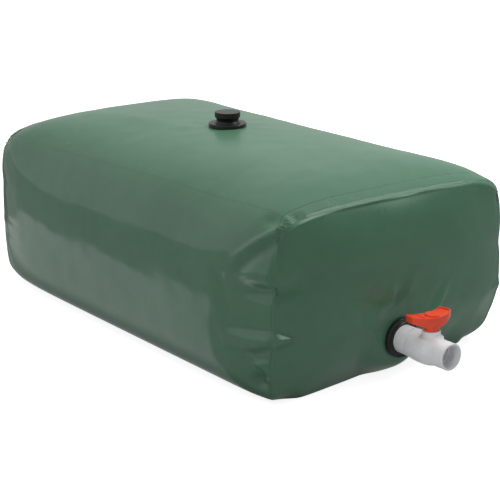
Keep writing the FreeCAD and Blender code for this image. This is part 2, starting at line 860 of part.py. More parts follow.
def ball():
    solid = Part.makeSphere(ball_radius)
    bore = Part.makeCylinder(ball_bore, 4 * ball_radius, V(0, -2 * ball_radius, 0), V(0, 1, 0))
    width = tang_width + running
    slot = Part.makeBox(2 * ball_radius, width, ball_radius,
                        V(-ball_radius, -width / 2, tang_low - running))
    return on_stem(solid.cut(bore).cut(slot))


def seat(side):
    near = stem_from_face + side * seat_near
    far = stem_from_face + side * seat_far
    ring = turned_level((near, seat_inner), (near, seat_outer), (far, seat_outer), (far, seat_inner))
    ball_room = Part.makeSphere(ball_radius + seated, V(stem_x, 0, outlet_height))
    return ring.cut(ball_room)


def stem():
    half_groove = stem_seal + seated
    steps = [(stem_foot_radius, stem_foot_low), (stem_foot_radius, stem_foot_high),
             (stem_radius, stem_foot_high)]
    for height in stem_seal_heights:
        steps += [(stem_radius, height - half_groove), (stem_seal_groove, height - half_groove),
                  (stem_seal_groove, height + half_groove), (stem_radius, height + half_groove)]
    square_low = tower_height + handle_clearance
    steps += [(stem_radius, square_low), (0, square_low)]
    shaft = turned_on_stem((0, stem_foot_low), *steps)
    half = stem_square / 2
    square = Part.makeBox(stem_square, stem_square, stem_top - square_low + 1,
                          V(-half, -half, square_low - 1))
    tang = Part.makeBox(tang_length, tang_width, stem_foot_low - tang_low + 1,
                        V(-tang_length / 2, -tang_width / 2, tang_low))
    hole = Part.makeCylinder(screw_radius + seated, screw_hole_depth + 1,
                             V(0, 0, stem_top - screw_hole_depth))
    ends = on_stem(square.fuse(tang))
    return shaft.fuse(ends).cut(on_stem(hole)).removeSplitter()


def stem_seal_ring(height):
    middle = stem_radius + running - stem_seal - seated
    return Part.makeTorus(middle, stem_seal, V(stem_x, 0, outlet_height + height))


def thrust_washer():
    low = stem_foot_high + seated
    high = low + thrust_washer_thickness
    inner = stem_radius + running
    return turned_on_stem((inner, low), (stem_foot_radius, low), (stem_foot_radius, high), (inner, high))


def handle_plan(inset=0.0):
    """Crescent seen from above, its tips swept towards the tank."""
    front = (wing_tip_half_width - wing_back - inset, wing_out - inset)
    back = (-wing_tip_half_width - wing_back + inset, wing_out - wing_tip_skew - inset)
    end = ((front[0] + back[0]) / 2, (front[1] + back[1]) / 2 + wing_tip_round)

    def across(point):
        return point[0], -point[1]

    return outline(front, (end, back), ((-hub_back + inset, 0), across(back)),
                   (across(end), across(front)), ((hub_radius - inset, 0), front))


def handle():
    plan = handle_plan().extrude(V(0, 0, 2 * hub_top))
    tip_top = hub_top + wing_rise
    reach = 1.2 * wing_out
    rise = wing_rise * (reach / wing_out) ** 2
    side = outline(
        (reach, hub_top + rise), ((0, hub_top), (-reach, hub_top + rise)),
        (-reach, tip_top - wing_depth), (-wing_out, tip_top - wing_depth),
        (-skirt_radius, wing_root_low), (skirt_radius, wing_root_low),
        (wing_out, tip_top - wing_depth), (reach, tip_top - wing_depth))
    side.rotate(V(0, 0, 0), V(1, 0, 0), 90)
    side.rotate(V(0, 0, 0), V(0, 0, 1), 90)
    wings = side.translated(V(-reach, 0, 0)).extrude(V(2 * reach, 0, 0)).common(plan)
    skirt_low = tower_height + handle_clearance
    skirt = Part.makeCylinder(skirt_radius, hub_top - skirt_low - deep_chamfer, V(0, 0, skirt_low))
    solid = wings.fuse(skirt).removeSplitter()
    pocket_z = hub_top - wing_pocket_drop
    pocket = handle_plan(wing_rim).extrude(V(0, 0, hub_top)).translated(V(0, 0, pocket_z))
    keep = Part.makeBox(2 * reach, 2 * wing_pocket_start, hub_top,
                        V(-reach, -wing_pocket_start, pocket_z - 1))
    solid = solid.cut(pocket.cut(keep))
    half = stem_square / 2 + seated
    socket = Part.makeBox(2 * half, 2 * half, handle_web_low - tower_height, V(-half, -half, tower_height))
    solid = solid.cut(socket)
    web = handle_web_high - handle_web_low
    solid = solid.cut(Part.makeCylinder(screw_radius + running, web + 2, V(0, 0, handle_web_low - 1)))
    solid = solid.cut(Part.makeCylinder(screw_well_radius, hub_top, V(0, 0, handle_web_high)))
    plug_seat = Part.makeCylinder(plug_radius + running, hub_top, V(0, 0, hub_top - plug_seat_depth))
    return on_stem(solid.cut(plug_seat))


def handle_plug():
    low = hub_top - plug_seat_depth + seated
    high = low + plug_height + plug_seat_depth
    foot = handle_web_high + screw_head_height + 1
    inner = screw_well_radius - seated
    return turned_on_stem(
        (inner - plug_wall, foot), (inner, foot), (inner, low), (plug_radius, low),
        (plug_radius, high - chamfer), (plug_radius - chamfer, high), (0, high), (0, low + chamfer),
        (inner - plug_wall, low + chamfer))


def handle_screw():
    low = handle_web_high + seated
    high = low + screw_head_height
    end = low - screw_length
    head = screw_head_radius
    return turned_on_stem(
        (0, end), (screw_radius, end), (screw_radius, low), (head, low), (head, high - chamfer),
        (head - chamfer, high), (0, high))


def tap_end_panel():
    panel = end_panel(1, outlet_height, outlet_flat_radius, outlet_flat_x)
    return panel.cut(level_cylinder(outlet_hole_radius, fold_half_length, face_x))


def far_end_panel():
    middle = end_height / 2
    return end_panel(-1, middle, outlet_flat_radius, fold_half_length + panel_bulge)


pieces = {
    "body_sheet": body_sheet,
    "tap_end_panel": tap_end_panel,
    "far_end_panel": far_end_panel,
    "filler_fitting": filler_fitting,
    "filler_gasket": filler_gasket,
    "filler_locknut": filler_locknut,
    "filler_cap": filler_cap,
    "cap_liner": cap_liner,
    "tank_adaptor": tank_adaptor,
    "adaptor_gasket": adaptor_gasket,
    "outlet_washer": outlet_washer,
    "outlet_nut": outlet_nut,
    "valve_end_piece": valve_end_piece,
    "end_piece_seal": end_piece_seal,
    "valve_body": valve_body,
    "ball": ball,
    "tank_side_seat": lambda: seat(-1),
    "outlet_side_seat": lambda: seat(1),
    "stem": stem,
    "lower_stem_seal": lambda: stem_seal_ring(stem_seal_heights[0]),
    "upper_stem_seal": lambda: stem_seal_ring(stem_seal_heights[1]),
    "thrust_washer": thrust_washer,
    "handle": handle,
    "handle_plug": handle_plug,
    "handle_screw": handle_screw,
}

os.makedirs("parts", exist_ok=True)
for name, make in pieces.items():
    shape = make()
    if len(shape.Solids) == 1:
        shape = shape.Solids[0]
    box = shape.BoundBox
    print(f"{name:18s} {len(shape.Solids)} solid, valid {shape.isValid()}, {shape.Volume / 1000:9.2f} cm3, "
          f"{box.XLength:7.1f} x {box.YLength:6.1f} x {box.ZLength:6.1f}")
    shape.exportStep(f"parts/{name}.step")
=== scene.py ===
# %% [markdown]
# A collapsible water tank, filled
#
# The object is a pillow-shaped bag of PVC-coated polyester that stands full of water. A black
# screw cap closes the filler on its top, and a white ball valve with a red handle sits low on one
# end. The solids that carry and move everything arrive ready made, as the frame. This file
# dresses them: it builds the bag's fabric as fine surfaces, adds small turned rings to the
# fittings, and gives each piece its finish. Every length is in metres, +X runs along the bag to
# the valve and +Z is up.

import json
import math

import bpy
import numpy as np
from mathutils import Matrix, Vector


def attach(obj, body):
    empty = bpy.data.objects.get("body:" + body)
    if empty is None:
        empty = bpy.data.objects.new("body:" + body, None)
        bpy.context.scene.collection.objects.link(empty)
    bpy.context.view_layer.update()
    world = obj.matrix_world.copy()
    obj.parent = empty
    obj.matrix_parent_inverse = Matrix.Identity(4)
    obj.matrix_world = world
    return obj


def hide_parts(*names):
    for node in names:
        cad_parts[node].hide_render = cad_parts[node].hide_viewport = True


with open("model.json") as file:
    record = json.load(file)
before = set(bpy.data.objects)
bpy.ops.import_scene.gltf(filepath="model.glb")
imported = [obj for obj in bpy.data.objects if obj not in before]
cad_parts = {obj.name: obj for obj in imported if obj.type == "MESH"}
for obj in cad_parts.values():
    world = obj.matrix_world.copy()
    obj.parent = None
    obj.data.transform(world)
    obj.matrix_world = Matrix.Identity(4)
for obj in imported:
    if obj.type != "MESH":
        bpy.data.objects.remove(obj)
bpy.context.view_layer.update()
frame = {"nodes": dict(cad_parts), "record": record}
print("pieces in the frame:", len(frame["nodes"]))

# %% [markdown]
# The camera
#
# The photograph was taken from a little above, over the bag's front corner, with a long lens. A
# long lens keeps the far end nearly as tall as the near one. The camera looks at a point inside
# the bag, and it is placed by two angles and a distance, so that each of them can be changed by
# itself.

# %% Camera
camera_azimuth = math.radians(52.05)
camera_elevation = math.radians(16.79)
camera_distance = 3.4348
camera_target = Vector((0.05693, 0, 0.16225))
lens_px = 1435.12             # focal length, in pixels of a frame that is 500 pixels wide
frame_px = 500
sensor_width = 36.0

back = Vector((math.sin(camera_azimuth) * math.cos(camera_elevation),
               -math.cos(camera_azimuth) * math.cos(camera_elevation),
               math.sin(camera_elevation)))
camera = bpy.data.objects.new("camera", bpy.data.cameras.new("camera"))
camera.data.sensor_width = sensor_width
camera.data.lens = lens_px / frame_px * sensor_width
camera.data.clip_end = 50
camera.location = camera_target + back * camera_distance
camera.rotation_euler = back.to_track_quat("Z", "Y").to_euler()
bpy.context.scene.collection.objects.link(camera)
bpy.context.scene.camera = camera
print("lens:", round(camera.data.lens, 1), "mm")

# %% [markdown]
# Shader maths as Python
#
# A procedural material is a small sum of functions of position. Written as nodes by hand it gets
# long, so one class wraps a node's output and lets Python's own operators add the Math nodes.
# Colours and vectors go through Mix and Vector Math instead, because a Math node would turn a
# colour grey.

# %% Shader helpers
class Value:
    """A number that varies over a surface: an output socket of some node."""

    def __init__(self, shader, socket):
        self.shader = shader
        self.socket = socket

    def math(self, operation, *others):
        inputs = {0: self}
        inputs.update(enumerate(others, 1))
        return self.shader.node("ShaderNodeMath", {"operation": operation}, inputs)

    def __add__(self, other):
        return self.math("ADD", other)

    def __mul__(self, other):
        return self.math("MULTIPLY", other)

    def __sub__(self, other):
        return self.math("SUBTRACT", other)

    def __rsub__(self, other):
        return self.shader.node("ShaderNodeMath", {"operation": "SUBTRACT"}, {0: other, 1: self})

    __radd__ = __add__
    __rmul__ = __mul__

    def between(self, low, high):
        """0 where the value is below low, 1 above high, and an S-curve between."""
        return self.shader.node("ShaderNodeMapRange", {"interpolation_type": "SMOOTHSTEP"},
                                {"Value": self, "From Min": low, "From Max": high})


class Shader:
    """A material with one Principled shader, and the nodes that feed it."""

    def __init__(self, name, tree=None):
        if tree is None:
            self.material = bpy.data.materials.new(name)
            self.material.use_nodes = True
            tree = self.material.node_tree
        self.tree = tree
        self.surface = tree.nodes.get("Principled BSDF")
        self.places = None

    def node(self, kind, settings=None, inputs=None, output=0):
        """A node of a type: its settings first, then its sockets, which take values or links."""
        node = self.tree.nodes.new(kind)
        for key, value in (settings or {}).items():
            setattr(node, key, value)
        for key, value in (inputs or {}).items():
            self.feed(node.inputs[key], value)
        return Value(self, node.outputs[output])

    def feed(self, socket, value):
        if isinstance(value, Value):
            self.tree.links.new(value.socket, socket)
        else:
            socket.default_value = value

    def place(self):
        """Position in the object's own coordinates."""
        if self.places is None:
            self.places = self.node("ShaderNodeTexCoord", output="Object")
        return self.places

    def axis(self, vector, name):
        """One of the X, Y and Z parts of a vector."""
        return self.node("ShaderNodeSeparateXYZ", {}, {0: vector}, output=name)

    def noise(self, scale, detail):
        """Smooth random value between 0 and 1, scale bumps to the metre."""
        return self.node("ShaderNodeTexNoise", {"noise_dimensions": "3D"},
                         {"Vector": self.place(), "Scale": scale, "Detail": detail})

    def blend(self, share, first, second):
        """Colour that turns from the first into the second with a share."""
        return self.node("ShaderNodeMix", {"data_type": "RGBA"},
                         {"Factor": share, 6: first, 7: second}, output=2)

    def bump(self, height, distance, strength):
        return self.node("ShaderNodeBump", {},
                         {"Height": height, "Distance": distance, "Strength": strength})

    def set(self, **values):
        for key, value in values.items():
            self.feed(self.surface.inputs[key.replace("_", " ")], value)
        return self.material


def colour(red, green, blue):
    """Linear colour from the 0 to 255 values that a picture shows."""
    linear = []
    for level in (red, green, blue):
        share = level / 255
        linear.append(share / 12.92 if share <= 0.04045 else ((share + 0.055) / 1.055) ** 2.4)
    return (*linear, 1.0)


print("a mid grey is", round(colour(128, 128, 128)[0], 3), "linear")

# %% [markdown]
# The bag's form
#
# Water pushes the bag out until each cross-section is a rounded box: flat where it stands on the
# ground, nearly straight up its sides, and slightly crowned on top. A superellipse says this in
# one line, with a power for how square it is. The bag narrows towards its two ends, where the
# fabric is drawn together, so half width, height and squareness are all functions of the place
# along the bag.

# %% Cross-sections
fold_x = 0.552                # middle of the bag to the folded edge of an end panel
fabric = 0.001
belt_z = 0.190                # the sides stand out furthest here
low_ratio = 1.05              # the lower half's curve would reach this much deeper than the ground
crown = 0.006
swell_power = 7
end_half_width, middle_half_width = 0.325, 0.356
end_height, middle_height = 0.392, 0.444
end_top_power, middle_top_power = 7.5, 3.0
valve_low_power, far_low_power, middle_low_power = 9.5, 7.0, 6.6
curve_steps = 2400


def sizes_at(x):
    """Half width, height, upper and lower power at x, by a swell: 1 - (x / fold)^7."""
    swell = 1 - np.minimum(np.abs(x) / fold_x, 1) ** swell_power
    end_low_power = np.where(x > 0, valve_low_power, far_low_power)
    pairs = ((end_half_width, middle_half_width), (end_height, middle_height),
             (end_top_power, middle_top_power), (end_low_power, middle_low_power))
    return [end + (middle - end) * swell for end, middle in pairs]


def section(x, angle):
    """Point in a direction from the belt's middle: radius = (|cos / a|^n + |sin / b|^n)^(-1/n)."""
    half_width, height, top_power, low_power = sizes_at(x)
    c, s = np.cos(angle), np.sin(angle)
    upper = s >= 0
    power = np.where(upper, top_power, low_power)
    reach = np.where(upper, height - belt_z, belt_z * low_ratio)
    radius = (np.abs(c / half_width) ** power + np.abs(s / reach) ** power) ** (-1 / power)
    y = radius * c
    rise = crown * (radius * s / reach) ** 2 * (1 - (y / half_width) ** 2)
    return y, np.maximum(belt_z + radius * s + np.where(upper, rise, 0), 0)


def girth_curve(x):
    """Angle, y, z and length so far of a curve at x, from the ground over the top and down."""
    half_width, _, _, low_power = sizes_at(x)
    foot = half_width * (1 - low_ratio ** -low_power) ** (1 / low_power)
    low = np.arctan2(-belt_z, foot)
    angles = np.linspace(math.pi - low, low, curve_steps)
    y, z = section(x, angles)
    return angles, y, z, np.concatenate([[0], np.cumsum(np.hypot(np.diff(y), np.diff(z)))])


def girth_at(x, shares):
    """y, z and outward normal at shares of the way over the top."""
    _, y, z, lengths = girth_curve(x)
    along = shares * lengths[-1]
    values = (y, z, -np.gradient(z, lengths), np.gradient(y, lengths))
    return [np.interp(along, lengths, value) for value in values]


def end_corners():
    """Girth of an end over the top, and the distances along it of its two upper corners."""
    corner = math.atan2(end_height - belt_z, end_half_width)
    angles, _, _, lengths = girth_curve(fold_x)
    turned = angles[0] - np.array([math.pi - corner, corner])
    return lengths[-1], np.interp(turned, angles[0] - angles, lengths)


end_girth, shoulders = end_corners()
print("girth of an end over the top:", round(end_girth, 4), "m, corners at", shoulders.round(4))

# %% [markdown]
# Folds, gathers and ripples
#
# A filled bag is not smooth. Where the flat sheet is bent round a square end there is too much
# fabric, so each upper corner is gathered into short pleats and each upright corner buckles into
# dents and ridges. Each such form is a bell curve, exp(-t^2), or a product of two, measured
# across and along the fold. Fields of faint waves with fixed random directions give the soft
# unevenness of the coating.

# %% Relief functions
def smooth(t):
    """0 below 0, 1 above 1, and the S-curve 3t^2 - 2t^3 between."""
    t = np.clip(t, 0, 1)
    return t * t * (3 - 2 * t)


def bell(t):
    """exp(-t^2)."""
    return np.exp(-t * t)


def ripple(u, v, wavelength, seed, waves=9):
    """Sum of sine waves of about one wavelength in random directions, about -1 to 1."""
    random = np.random.RandomState(seed)
    total = np.zeros(np.broadcast(u, v).shape)
    for _ in range(waves):
        turn = random.uniform(0, 2 * math.pi)
        stretch = random.uniform(0.7, 1.4)
        phase = random.uniform(0, 2 * math.pi)
        along = u * math.cos(turn) + v * math.sin(turn)
        total += np.sin(2 * math.pi * along * stretch / wavelength + phase)
    return total / math.sqrt(waves) / 1.5


def ramp(value, start, end):
    """S-curve from 0 at start to 1 at end; it falls as the value grows if end is below start."""
    return smooth((value - start) / (end - start))


def mound(u, z, rise, line, slope, half_height, middle, half_length):
    """A bell across the line z = line + slope u, times a bell along it; a minus rise dents."""
    return rise * bell((z - line - slope * u) / half_height) * bell((u - middle) / half_length)


def lens(u, z):
    """A long flat fold with thin grooves along its two edges, which are lines in (u, z)."""
    rise, shoulder = 0.0080, 0.021
    groove, groove_half_width = 0.0022, 0.0042
    top = np.interp(u, [-0.150, -0.065, 0, 0.050], [0.148, 0.160, 0.170, 0.146])
    bottom = np.interp(u, [-0.150, -0.049, 0, 0.050], [0.104, 0.109, 0.131, 0.144])
    inside = np.minimum(top - z, z - bottom)
    ends = ramp(u, -0.165, -0.035) * ramp(u, 0.056, 0.036)
    return (rise * smooth(inside / shoulder) - groove * bell(inside / groove_half_width)) * ends


def shelf(u, z):
    """A fold that stands out above a sloping line, falls away under it and leaves a hollow."""
    rise, fade_height, fade_power, drop = 0.0080, 0.026, 1.5, 0.034
    line, slope, middle, half_length = 0.286, 0.13, -0.020, 0.070
    hollow_depth, hollow_drop, hollow_half_height = 0.0080, 0.038, 0.016
    t = z - (line + slope * u)
    above = np.exp(-(np.clip(t, 0, None) / fade_height) ** fade_power)
    stands_out = rise * np.where(t > 0, above, ramp(t, -drop, 0)) * bell((u - middle) / half_length)
    return stands_out + mound(u, z, -hollow_depth, line - hollow_drop, slope, hollow_half_height,
                              middle, half_length)


# Rise, height at the fold, slope and half height of the ridge below the gathers and of the hollow
# under that ridge.
brow_forms = ((0.0050, 0.382, 0.74, 0.011),
              (-0.0062, 0.356, 0.80, 0.018))
# Rise, height at the fold, slope, half height, middle and half length of the forms at the corner's
# foot: two creases, a hollow and the tuck in it, and the notch that opens the seam higher up.
foot_strength = 1.35
foot_forms = ((0.0030, 0.098, 0.15, 0.0065, -0.022, 0.022),
              (0.0022, 0.078, -0.30, 0.0060, -0.030, 0.018),
              (-0.0085, 0.050, 0, 0.021, -0.030, 0.021),
              (0.0025, 0.060, 0.25, 0.005, -0.020, 0.016),
              (-0.0035, 0.277, 0, 0.022, 0.004, 0.006))
front_strength, back_strength, far_strength = 1.3, 0.34, 0.15
far_lift, back_drop = 0.014, 0.010
ground_fade = 0.012


def brow(u, z):
    """The ridge that runs down the side from the gathers, and the hollow under it."""
    total = 0
    for rise, line, slope, half_height in brow_forms:
        total = total + rise * bell((z - line - slope * u) / half_height)
    return total * ramp(u, -0.135, -0.055) * ramp(u, 0.010, -0.010)


def corner_folds(u, z, side_x, side_y):
    """All folds of an upright corner; u is 0 at the fold, minus on the sheet, plus on the panel."""
    far, back = np.asarray(side_x) < 0, np.asarray(side_y) > 0
    strength = np.where(far, far_strength, np.where(back, back_strength, front_strength))
    height = z - far_lift * far + back_drop * back
    total = lens(u, height) + shelf(u, height) + brow(u, height)
    for form in foot_forms:
        total = total + foot_strength * mound(u, height, *form)
    return total * strength * ramp(z, 0, ground_fade)


def side_folds(x, y, z, level):
    """Corner folds on the sheet or a margin; level is how far the normal points sideways."""
    folds = corner_folds(np.abs(x) - fold_x, z, np.sign(x), np.where(y > 0, 1, -1))
    return folds * smooth(level * 1.4)


pleat_pitch = 0.0067
pleat_half_span = 9 * pleat_pitch / 2
pleat_depth = 0.0015
pleat_power = 0.8
pleat_lean = 0.25
pleat_reach = 0.021           # the gathers reach this far in from the fold
pleat_middle = 0.009          # and sit this far down the side from the corner
wander, wander_rate = 0.0012, 330
near_gathers = shoulders[0] - pleat_middle
far_gathers = shoulders[1] + pleat_middle


def pleats(x, girth_share):
    """Gathers at the upper corners: rounded ridges with sharp valleys, 2|cos(pi t)|^0.8 - 1."""
    inward = fold_x - np.abs(x)
    height = np.zeros(np.broadcast(x, girth_share).shape)
    for number, middle in enumerate((near_gathers, far_gathers)):
        offset = girth_share * end_girth - middle
        uneven = wander * np.sin(offset * wander_rate + number * 2)
        end = pleat_reach + uneven * 3
        reach = ramp(inward, end, end - 0.009) * ramp(inward, -0.001, 0.003)
        fade = smooth((pleat_half_span - np.abs(offset)) / pleat_pitch)
        slant = offset + uneven + pleat_lean * inward
        ridge = 2 * np.abs(np.cos(math.pi * slant / pleat_pitch)) ** pleat_power - 1
        height = height + pleat_depth * reach * fade * ridge
    return height


print("pleats per corner:", round(2 * pleat_half_span / pleat_pitch))

# %% [markdown]
# From grids to meshes
#
# Each fabric piece is a grid of points: rows one way, columns the other. The lines lie close
# together at the gathers and far apart on the plain top, so the detail gets its triangles and
# nothing else does. A Solidify modifier gives the coated fabric its real thickness, inwards.

# %% Grid helpers
def spaced(stops, steps):
    """Values from one stop to the next, each span divided into steps near its own size."""
    values = [np.array([stops[0]])]
    for start, stop, step in zip(stops, stops[1:], steps):
        count = max(1, round(abs(stop - start) / step))
        values.append(np.linspace(start, stop, count + 1)[1:])
    return np.concatenate(values)


def grid_faces(rows, columns):
    """Quads of a grid whose columns join up in a ring, as indices of its points."""
    row = np.arange(rows - 1)[:, None] * columns
    column = np.arange(columns)[None, :]
    after = (column + 1) % columns
    quads = np.stack([row + column, row + after, row + columns + after, row + columns + column], -1)
    return quads.reshape(-1, 4)


def mesh_piece(name, points, faces, material, uv=None, body="tank"):
    """A smooth object of points and faces that rides on a body; uv is one pair for each point."""
    mesh = bpy.data.meshes.new(name)
    mesh.from_pydata(np.asarray(points).tolist(), [], [list(face) for face in faces])
    mesh.update()
    if uv is not None:
        corners = np.zeros(len(mesh.loops), np.int32)
        mesh.loops.foreach_get("vertex_index", corners)
        layer = mesh.uv_layers.new(name="UVMap")
        layer.data.foreach_set("uv", np.asarray(uv, np.float32)[corners].ravel())
    mesh.polygons.foreach_set("use_smooth", [True] * len(mesh.polygons))
    mesh.materials.append(material)
    piece = bpy.data.objects.new(name, mesh)
    bpy.context.scene.collection.objects.link(piece)
    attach(piece, body)
    return piece


def fabric_piece(name, points, faces, material, uv, node):
    """Fabric of even thickness inside the drawn surface, in place of a node of the frame."""
    piece = mesh_piece(name, points, faces, material, uv)
    solid = piece.modifiers.new("fabric", "SOLIDIFY")
    solid.thickness = fabric
    solid.offset = -1
    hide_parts(node)
    print(name, len(faces), "faces")


def facing_out(points, faces, centre):
    """The faces, turned over where they would point towards the centre."""
    corners = points[faces]
    normal = np.cross(corners[:, 2] - corners[:, 0], corners[:, 3] - corners[:, 1])
    outward = ((corners.mean(1) - centre) * normal).sum(1).sum()
    return faces if outward > 0 else faces[:, ::-1]


foot_zone = 0.014             # the lines lie closer together this near to the ground
weld_zone = 0.440             # and from the front gathers to here, for the lap weld
girth_stops = [0, foot_zone, near_gathers - pleat_half_span, near_gathers + pleat_half_span,
               weld_zone, far_gathers - pleat_half_span, far_gathers + pleat_half_span,
               end_girth - foot_zone, end_girth]
girth_steps = [0.0035, 0.0036, pleat_pitch / 8, 0.0014, 0.014, pleat_pitch / 6, 0.007, 0.0035]
girth_lines = spaced(girth_stops, girth_steps) / end_girth
girth_places = girth_lines * end_girth
print("lines round the bag:", len(girth_lines))

# %% [markdown]
# The coated fabric's finish
#
# The bag is polyester cloth with a glossy PVC coating: a dull sea green with a clear, slightly
# uneven gloss. The cloth under the coating shows as a faint grid, and the coating itself is never
# quite even, so roughness and height vary a little over a hand's width.

# %% Coated fabric
thread_pitch = 0.0011
dust_low, dust_high = 0.36, 0.44


def coated_fabric(name, side_roughness, top_roughness):
    """Green PVC on a woven base: cloudy colour, faint threads, and dust that dulls the top."""
    shader = Shader(name)
    clouds = shader.noise(scale=5.0, detail=3.0) * 0.6 + shader.noise(scale=38.0, detail=4.0) * 0.4
    base = shader.blend(clouds.between(0.35, 0.65), colour(77, 120, 95), colour(82, 126, 100))
    sheet_place = shader.node("ShaderNodeUVMap", {"uv_map": "UVMap"})
    threads = []
    for direction in ("X", "Y"):
        threads.append(shader.node(
            "ShaderNodeTexWave",
            {"wave_type": "BANDS", "bands_direction": direction, "wave_profile": "SIN"},
            {"Vector": sheet_place, "Scale": 0.5 / thread_pitch / (2 * math.pi)}, output="Fac"))
    height = shader.noise(scale=9.0, detail=2.0) + shader.noise(scale=60.0, detail=3.0) * 0.12
    waves = shader.bump(height, distance=0.003, strength=0.12)
    fine = shader.node("ShaderNodeBump", {},
                       {"Height": threads[0] * threads[1], "Distance": 0.00003, "Strength": 0.6,
                        "Normal": waves})
    upper = shader.axis(shader.place(), "Z") + shader.noise(scale=6.0, detail=2.0) * 0.05
    dust = upper.between(dust_low, dust_high)
    uneven = shader.noise(scale=14.0, detail=3.0) * 0.06
    roughness = uneven + dust * (top_roughness - side_roughness) + side_roughness
    shader.set(Base_Color=base, Roughness=roughness, Normal=fine)
    shader.surface.inputs["IOR"].default_value = 1.5
    return shader.material


sheet_finish = coated_fabric("coated_fabric_sheet", side_roughness=0.08, top_roughness=0.27)
panel_finish = coated_fabric("coated_fabric_panel", side_roughness=0.26, top_roughness=0.24)
print("fabric finishes made")

# %% [markdown]
# How the bag settles
#
# A bag of water is not quite the same at its four corners. One function of position moves every
# point of the fabric, so that the separate pieces stay joined: the foot of the valve's end is
# drawn in, the two corners there turn under, and the far end and the back corner lean out a
# little at half height.

# %% Settling
outlet_z = 0.092
foot_y = [-0.325, -0.26, -0.20, -0.10, 0.0, 0.095, 0.20, 0.26, 0.325]
foot_in = [0.012, 0.015, 0.019, 0.029, 0.042, 0.052, 0.047, 0.038, 0.034]
foot_height = 0.150           # the foot of the valve's end is drawn in up to this height
tuck, front_tuck_height, back_tuck_height = 0.028, 0.032, 0.052
far_tuck, far_tuck_height = 0.018, 0.040
side_lean, far_lean = 0.007, 0.008


def settled(points):
    """Small shifts: each is a bell, S-curve or square of height, faded in towards its own end."""
    x, y, z = points[..., 0], points[..., 1], points[..., 2]
    clear = ramp(np.hypot(y, z - outlet_z), 0.052, 0.112)
    at_valve, at_far = ramp(x, 0.42, 0.55), ramp(x, -0.35, -0.55)
    foot = np.interp(y, foot_y, foot_in) * ramp(z, foot_height, 0) * clear
    low = np.where(y > 0, back_tuck_height, front_tuck_height)
    corner = tuck * np.clip(1 - z / low, 0, 1) ** 2 * ramp(np.abs(y), 0.235, 0.295)
    far_foot = far_tuck * np.clip(1 - z / far_tuck_height, 0, 1) ** 2 * ramp(x, -0.45, -0.55)
    lean_y = side_lean * bell((z - 0.15) / 0.085) * at_valve * ramp(y, 0.15, 0.30)
    lean_x = far_lean * bell((z - 0.20) / 0.13) * at_far
    return np.stack([x - (foot + corner) * at_valve - lean_x + far_foot, y + lean_y, z], -1)


print("the foot of the valve's end is drawn in by up to", max(foot_in), "m")

# %% [markdown]
# A table of sections
#
# On top, the end panels' welded margin reaches 28 mm back over the wrap; down the sides it is
# only a narrow seam at the fold. So the wrap's edge is not at one x, and each line that runs
# along the bag needs its section at its own x. A table of sections every 2 mm, read with linear
# interpolation, gives that for all lines at once.

# %% Table of sections
table_x = np.linspace(0, fold_x, 277)
top_margin, side_margin = 0.028, 0.0055
margin_turn = 0.045           # length of girth over which the margin changes its width


def section_table(side):
    """y, z and normal of every girth line, at each x of one half of the bag."""
    return np.array([girth_at(side * max(x, 1e-6), girth_lines) for x in table_x])


tables = {1: section_table(1), -1: section_table(-1)}


def ring_at(side, inward):
    """y, z, ny, nz of the girth lines at their own distances inward from the fold of an end."""
    place = np.clip((fold_x - inward) / fold_x * (len(table_x) - 1), 0, len(table_x) - 1.001)
    low = place.astype(int)
    part = (place - low)[:, None]
    line = np.arange(len(girth_lines))
    table = tables[side]
    return (table[low, :, line] * (1 - part) + table[low + 1, :, line] * part).T


def margin_width():
    """Width of the panel's margin at each girth line: 28 mm over the top, 5.5 mm down the sides."""
    start, end = near_gathers - 0.012, far_gathers + 0.012
    widens = ramp(girth_places, start, start + margin_turn)
    narrows = ramp(girth_places, end, end - margin_turn)
    return side_margin + (top_margin - side_margin) * widens * narrows


margin = margin_width()
margin_edge = margin + 0.00015  # the margin and the wrap meet here
print("table of", len(table_x), "sections for each end")

# %% [markdown]
# The wrap
#
# One sheet goes round the bag: under it, up both sides and over the top. Its grid follows the
# cross-sections. Folds and gathers push each point along its normal, and the part that lies on
# the ground is drawn as a plain strip that closes the ring. A lap weld, where the sheet's two
# long edges meet, runs along the front shoulder as a low step.

# %% Wrap
floor_columns = 14
side_rows = spaced([0, 0.36, 0.41, 0.546, fold_x], [0.019, 0.005, 0.003, 0.001])
far_rows = spaced([0, 0.38, 0.49, fold_x], [0.019, 0.010, 0.0045])
filler_x = -0.030
ear_y, wrinkle_y = -0.262, 0.214


def lap_weld(x, along):
    """Step of the welded lap: 0.4 mm up over 4 mm, then slowly down again over 30 mm."""
    line = 0.4105 + 0.022 * x + 0.0025 * np.sin(7 * x + 1)
    return 0.0004 * ramp(along, line, line + 0.004) * ramp(along, line + 0.036, line + 0.006)


def cap_wrinkles(x, y):
    """Shallow folds that run out from the filler, and a soft ridge along the top towards it."""
    dx = x - filler_x
    radius, turn = np.hypot(dx, y), np.arctan2(y, dx)
    fan = np.cos(turn * 9 + 0.9 * np.sin(turn * 2)) * bell((radius - 0.075) / 0.035)
    ridge = bell((y + 0.11 - 0.16 * (x + 0.25)) / 0.030) * bell((x + 0.22) / 0.20)
    return (0.0010 * fan + 0.0022 * ridge) * ramp(radius, 0.046, 0.066)


def long_side(x, z):
    """The front side turns in near the corner, from a slanting edge: an S-curve step of 4.5 mm."""
    line = 0.372 + 0.42 * (0.216 - z)
    return -0.0045 * ramp(x, line, line + 0.055) * ramp(x, 0.545, 0.50) * ramp(z, 0.30, 0.24)


def strip_edges(inward, along):
    """The margin on top is puckered: waves 30 and 13 mm long across it, strongest near its fold."""
    waves = 0.0007 * ripple(along, inward, 0.030, 21) + 0.00028 * ripple(along, inward, 0.013, 23)
    return waves * (bell((inward - 0.006) / 0.010) + 0.5 * bell((inward - 0.026) / 0.008))


